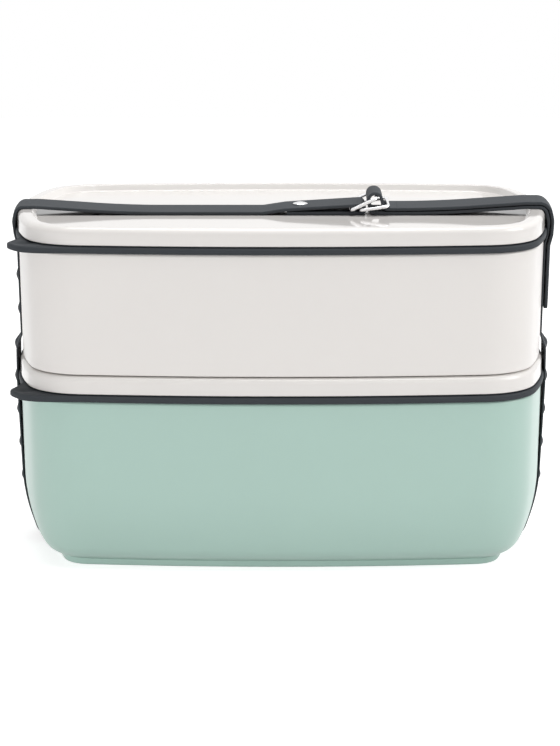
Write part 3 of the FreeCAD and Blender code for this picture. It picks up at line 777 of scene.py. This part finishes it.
def stud_height(across, z, heights):
    """Diamond pyramids with flat tips: height falls evenly with the sum of both distances from the middle."""
    apart = np.abs(across)[..., None] + np.abs(z[..., None] - np.array(heights))
    slope = (STUD_HALF - apart) / (STUD_HALF - STUD_TIP_HALF)
    return STUD_H * np.clip(slope, 0, 1).max(axis=-1)


def strap_piece(name, points, ahead, side, studs=(), half_widths=None, thin=False):
    """The strap's section carried along a route in the XZ plane; side tells which way its outer face looks.

    Beside the box it is bowed across its width like the box's short side, by R less the root of R squared
    less y squared. A thin run is drawn thin below the lid, and it thickens evenly between the tub's rim and
    the top of the side runs.
    """
    section = band_section(STUDDED_COLUMNS if studs else PLAIN_COLUMNS)
    out = side * np.stack([ahead[:, 1], -ahead[:, 0]], axis=1)
    across = np.broadcast_to(section[None, :, 0], (len(points), len(section)))
    raised = np.repeat(section[None, :, 1], len(points), axis=0)
    if thin:
        drawn = np.interp(points[:, 1], (UPPER_RIM_Z, SIDE_RUN_TOP_Z), (STRETCHED_T / STRAP_T, 1))
        raised *= drawn[:, None]
    if studs:
        on_outer = section[None, :, 1] > section[:, 1].max() - TINY
        height = stud_height(across, np.broadcast_to(points[:, 1, None], across.shape), studs)
        raised += np.where(on_outer, height, 0)
    if half_widths is not None:
        across = across * (half_widths / (STRAP_W / 2))[:, None]
    x = points[:, 0, None] + out[:, 0, None] * raised
    y = STRAP_Y + across
    z = points[:, 1, None] + out[:, 1, None] * raised
    beside = np.clip((np.abs(x) - STRAP_FLAT_X) / (HALF_L - STRAP_FLAT_X), 0, 1)
    bow = SHORT_SIDE_BOW_R - np.sqrt(SHORT_SIDE_BOW_R ** 2 - y ** 2)
    return surface(name, np.dstack([x - np.sign(x) * beside * bow, y, z]), SILICONE)


def stud_heights(side):
    """Heights of the studs on one side: all on the left, and on the right those below the tail."""
    heights = STUD_FIRST_Z + STUD_PITCH * np.arange(STUD_COUNT)
    limit = TAIL_END_Z if side > 0 else UPPER_RIM_Z
    return tuple(heights[heights < limit - STUD_HALF])


def strap_sides():
    """Base run, and the lower, middle and upper run of each side."""
    middle = [(0, BASE_RUN_Z, 0)]
    halves = {side: rounded(middle + side_corners(side), steps=SIDE_ARC_STEPS) for side in (-1, 1)}
    runs = (("lower", STRETCH_LOW_Z, STRETCH_MID_Z, "lower_box", "lower_lid"),
            ("middle", STRETCH_MID_Z, STRETCH_TOP_Z, "lower_lid", "upper_box"),
            ("upper", STRETCH_TOP_Z, SIDE_RUN_TOP_Z, "upper_box", "upper_lid"))
    for side, word in ((-1, "left"), (1, "right")):
        route = halves[side]
        rising = route[1:]
        skipped = np.linalg.norm(route[1] - route[0])
        for part, low, high, below, above in runs:
            ends = [skipped + way_at_height(rising, z) for z in (low, high)]
            points, ahead = resampled(route, *ends)
            piece = strap_piece(f"{word}_{part}_strap", points, ahead, side, stud_heights(side), thin=True)
            stretched(piece, f"strap_{word}_{part}")
    left = halves[-1]
    whole = np.concatenate([left[::-1], halves[1][1:]])
    skipped = np.linalg.norm(left[1] - left[0])
    low_way = skipped + way_at_height(left[1:], STRETCH_LOW_Z)
    full = way_along(left)[-1]
    points, ahead = resampled(whole, full - low_way, full + low_way)
    piece = strap_piece("base_strap", points, ahead, 1, stud_heights(-1)[:1], thin=True)
    seated(piece, "lower_box", "strap_base")


def strap_top_left():
    """Left top run: over the rim, along the recess, over its own end and round both rings' bars."""
    step_x = FOLD_END_X - STRAP_T / 2
    fold_r = (FOLD_TOP_Z - FLOOR_RUN_Z) / 2 - STRAP_LAYER_GAP / 2
    fold = [
        (FOLD_START_X, FLOOR_RUN_Z, FOLD_BEND_R),
        (step_x, FLOOR_RUN_Z + LAYER_PITCH, FOLD_BEND_R),
        (FOLD_NOSE_X, FOLD_TOP_Z, fold_r),
        (FOLD_NOSE_X, FLOOR_RUN_Z, fold_r),
        (FOLD_END_X, FLOOR_RUN_Z, 0),
    ]
    route = rounded(side_corners(-1)[TOP_RUN_CORNER:-1] + fold, steps=TOP_ARC_STEPS)
    points, ahead = resampled(route, way_at_height(route, SIDE_RUN_TOP_Z))
    seated(strap_piece("left_top_strap", points, ahead, -1), "upper_lid", "strap_top_left")


def strap_top_right():
    """Right top run: over the rim and along the recess to the loop."""
    route = rounded(side_corners(1)[TOP_RUN_CORNER:], steps=TOP_ARC_STEPS)
    points, ahead = resampled(route, way_at_height(route, SIDE_RUN_TOP_Z))
    seated(strap_piece("right_top_strap", points, ahead, 1), "upper_lid", "strap_top_right")


def ring_end(bar_x, tilt):
    """Centre of a ring's right-hand bar, as (x, z)."""
    return bar_x + RING_SPAN * math.cos(tilt), BAR_Z + RING_SPAN * math.sin(tilt)


def strap_loop():
    """Loop through the rings: up beside the fold, over the inner ring's bar and under the outer ring's bar.

    It is baked in place and attached to neither ring.
    """
    inner_z = ring_end(INNER_BAR_X, INNER_RING_TILT)[1]
    left = FOLD_NOSE_X + STRAP_T + LOOP_SIDE_GAP
    right = left + 2 * LOOP_R
    top = inner_z + WIRE_D / 2 + LOOP_TOP_GAP + STRAP_T / 2
    under_bar_r = WIRE_D / 2 + 2 * TAIL_BAR_GAP + STRAP_T / 2 + STRAP_GAP
    route = rounded([
        (TAIL_ROOT_X, FLOOR_RUN_Z, 0),
        (left + LOOP_LEAN, FLOOR_RUN_Z, LOOP_ROOT_R),
        (left, top, LOOP_R - STRAP_LAYER_GAP),
        (right, top, LOOP_R - STRAP_LAYER_GAP),
        (right + LOOP_FLARE, TAIL_ROOT_Z, under_bar_r),
        (TAIL_ROOT_X, TAIL_ROOT_Z, 0),
    ], steps=BUCKLE_ARC_STEPS)
    points, ahead = resampled(route)
    piece = strap_piece("ring_loop_strap", points, ahead, 1)
    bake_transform(piece)
    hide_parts("strap_loop")


def strap_tail():
    """Free end: from the outer ring along the right top run, over the rim and down outside.

    Near its end the half width follows two corner circles: half less r plus the root of r squared less the
    square of r less the distance to the end.
    """
    root = (TAIL_ROOT_X + STRAP_LAYER_GAP, TAIL_ROOT_Z, 0)
    outside = side_corners(1, TAIL_LIFT)[TAIL_CORNER:-1]
    route = rounded([root] + outside[::-1], steps=TOP_ARC_STEPS)
    end = way_along(route)[-1] - way_at_height(route[::-1], TAIL_END_Z)
    points, ahead = resampled(route, 0, end)
    from_end = np.linalg.norm(points - points[-1], axis=1)
    short = np.clip(TAIL_END_R - from_end, 0, TAIL_END_R)
    half_widths = STRAP_W / 2 - TAIL_END_R + np.sqrt(TAIL_END_R ** 2 - short ** 2)
    piece = strap_piece("tail_strap", points, ahead, -1, half_widths=half_widths)
    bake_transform(piece)
    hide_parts("strap_tail")


# Rings and rivet

def wire_ring(name, body, bar_x, tilt):
    """Round wire carried along a rectangle with rounded corners that is tilted up to the right.

    Round each path point the wire lies at cos a times the ring's own normal plus sin a times the sideways
    direction.
    """
    half = (RING_INNER_W + WIRE_D) / 2
    path = rounded([(0, half, RING_BEND_R), (RING_SPAN, half, RING_BEND_R), (RING_SPAN, -half, RING_BEND_R),
                    (0, -half, RING_BEND_R)], closed=True, steps=BUCKLE_ARC_STEPS)
    ahead = np.roll(path, -1, axis=0) - np.roll(path, 1, axis=0)
    ahead /= np.linalg.norm(ahead, axis=1)[:, None]
    sideways = np.stack([ahead[:, 1], -ahead[:, 0]], axis=1)
    turn = np.linspace(0, 2 * math.pi, WIRE_COLUMNS, endpoint=False)
    flat = path[:, None] + WIRE_D / 2 * np.sin(turn)[None, :, None] * sideways[:, None]
    lift = np.broadcast_to(WIRE_D / 2 * np.cos(turn)[None], flat.shape[:2])
    x = bar_x + flat[..., 0] * math.cos(tilt) - lift * math.sin(tilt)
    z = BAR_Z + flat[..., 0] * math.sin(tilt) + lift * math.cos(tilt)
    grid = np.dstack([x, STRAP_Y + flat[..., 1], z])
    seated(surface(name, grid, STEEL, wrap_rows=True), body, body)


def rivet():
    """Domed rivet: a half profile (radius, z) turned about its upright axis.

    The dome falls with the square of the radius.
    """
    low, high = node_box("strap_rivet")
    head_r = RIVET_HEAD_D / 2
    dome_h = RIVET_HEAD_H - RIVET_EDGE_H
    seat = high[2] - RIVET_HEAD_H
    radii = np.linspace(head_r - RIVET_DOME_INSET, RIVET_TIP_R, RIVET_DOME_ROWS)
    dome = np.stack([radii, high[2] - dome_h * (radii / head_r) ** 2], axis=1)
    shank = [(RIVET_TIP_R, low[2]), (RIVET_SHANK_R, low[2]), (RIVET_SHANK_R, seat)]
    edge = [
        (head_r - RIVET_EDGE_BREAK, seat),
        (head_r, seat + RIVET_EDGE_BREAK),
        (head_r, seat + RIVET_EDGE_H - RIVET_EDGE_BREAK),
    ]
    profile = np.concatenate([shank, edge, dome])
    turn = np.linspace(0, 2 * math.pi, RIVET_COLUMNS, endpoint=False)
    x = RIVET_X + profile[:, 0, None] * np.cos(turn)
    y = STRAP_Y + profile[:, 0, None] * np.sin(turn)
    grid = np.dstack([x, y, np.broadcast_to(profile[:, 1, None], x.shape)])
    seated(surface("fold_rivet", grid, STEEL), "upper_lid", "strap_rivet")


# Stage

def white_to_camera(tree, strength):
    """Strength that only camera, glossy and transmission rays see, so a white ground adds no light."""
    path = tree.nodes.new("ShaderNodeLightPath")
    seen = math_node(tree, "MAXIMUM", path.outputs["Is Camera Ray"], path.outputs["Is Glossy Ray"])
    seen = math_node(tree, "MAXIMUM", seen, path.outputs["Is Transmission Ray"])
    return math_node(tree, "MULTIPLY", seen, strength)


def floor():
    """Pale floor that keeps the object's shadow."""
    mesh = bpy.data.meshes.new("floor")
    signs = ((-1, -1), (1, -1), (1, 1), (-1, 1))
    mesh.from_pydata([(x * FLOOR_HALF, y * FLOOR_HALF, 0) for x, y in signs], [], [(0, 1, 2, 3)])
    ground = bpy.data.objects.new("floor", mesh)
    bpy.context.scene.collection.objects.link(ground)
    material = bpy.data.materials.new("floor_white")
    material.use_nodes = True
    tree = material.node_tree
    shade = tree.nodes["Principled BSDF"]
    shade.inputs["Base Color"].default_value = (FLOOR_GREY, FLOOR_GREY, FLOOR_GREY, 1)
    shade.inputs["Roughness"].default_value = FLOOR_ROUGHNESS
    shade.inputs["Specular IOR Level"].default_value = 0.0
    shade.inputs["Emission Color"].default_value = (1, 1, 1, 1)
    tree.links.new(white_to_camera(tree, FLOOR_GLOW), shade.inputs["Emission Strength"])
    mesh.materials.append(material)


def world():
    """Even soft light, seen as white by the camera and by reflections."""
    sky = bpy.data.worlds.new("studio")
    bpy.context.scene.world = sky
    sky.use_nodes = True
    tree = sky.node_tree
    back = tree.nodes["Background"]
    back.inputs["Color"].default_value = (1, 1, 1, 1)
    strength = math_node(tree, "ADD", white_to_camera(tree, SKY_SEEN), SKY_LIGHT)
    tree.links.new(strength, back.inputs["Strength"])


def lamp(name, place, target, width, height, power, mirrored=True):
    """Soft box that looks at a target; power is in watts, and a fill light isn't mirrored in gloss."""
    light = bpy.data.lights.new(name, "AREA")
    light.shape = "RECTANGLE"
    light.size = width
    light.size_y = height
    light.energy = power
    holder = bpy.data.objects.new(name, light)
    holder.visible_glossy = mirrored
    holder.location = place
    towards = np.array(target) - np.array(place)
    holder.rotation_euler = (math.acos(-towards[2] / np.linalg.norm(towards)), 0,
                             math.atan2(towards[1], towards[0]) - math.pi / 2)
    bpy.context.scene.collection.objects.link(holder)


def camera():
    """The photograph's camera: it looks slightly down on the front."""
    lens = bpy.data.cameras.new("photo_camera")
    lens.sensor_width = SENSOR_W
    lens.lens = FOCAL_PX / PHOTO_H * SENSOR_W
    lens.shift_x = (PHOTO_W / 2 - AXIS_U) / PHOTO_H
    holder = bpy.data.objects.new("photo_camera", lens)
    holder.location = (0, -CAMERA_DISTANCE * math.cos(CAMERA_ELEVATION) * MM,
                       (CAMERA_TARGET_Z + CAMERA_DISTANCE * math.sin(CAMERA_ELEVATION)) * MM)
    holder.rotation_euler = (math.pi / 2 - CAMERA_ELEVATION, 0, 0)
    bpy.context.scene.collection.objects.link(holder)
    bpy.context.scene.camera = holder


lower_tub()
upper_tub()
lid("lower_lid_shell", "lower_lid", LOWER_LID_Z)
lid("upper_lid_shell", "upper_lid", UPPER_LID_Z)
seal("lower_gasket", "lower_lid", "lower_seal", LOWER_LID_Z)
seal("upper_gasket", "upper_lid", "upper_seal", UPPER_LID_Z)
strap_sides()
strap_top_left()
strap_top_right()
strap_loop()
strap_tail()
wire_ring("inner_wire_ring", "ring_inner", INNER_BAR_X, INNER_RING_TILT)
wire_ring("outer_wire_ring", "ring_outer", OUTER_BAR_X, OUTER_RING_TILT)
rivet()

floor()
world()
lamp("top", (0.1, 0.15, 1.5), BOX_TOP, width=1.2, height=1.2, power=17.5)
lamp("key_right", (1.5, -0.35, 0.9), BOX_MIDDLE, width=1.0, height=1.0, power=15.0)
lamp("low_front", (0.1, -1.3, 0.1), BOX_MIDDLE, width=2.0, height=0.2, power=5.4, mirrored=False)
lamp("low_left", (-1.2, -0.8, 0.1), BOX_MIDDLE, width=1.4, height=0.2, power=7.0, mirrored=False)
camera()
bpy.context.scene.view_settings.view_transform = "Standard"
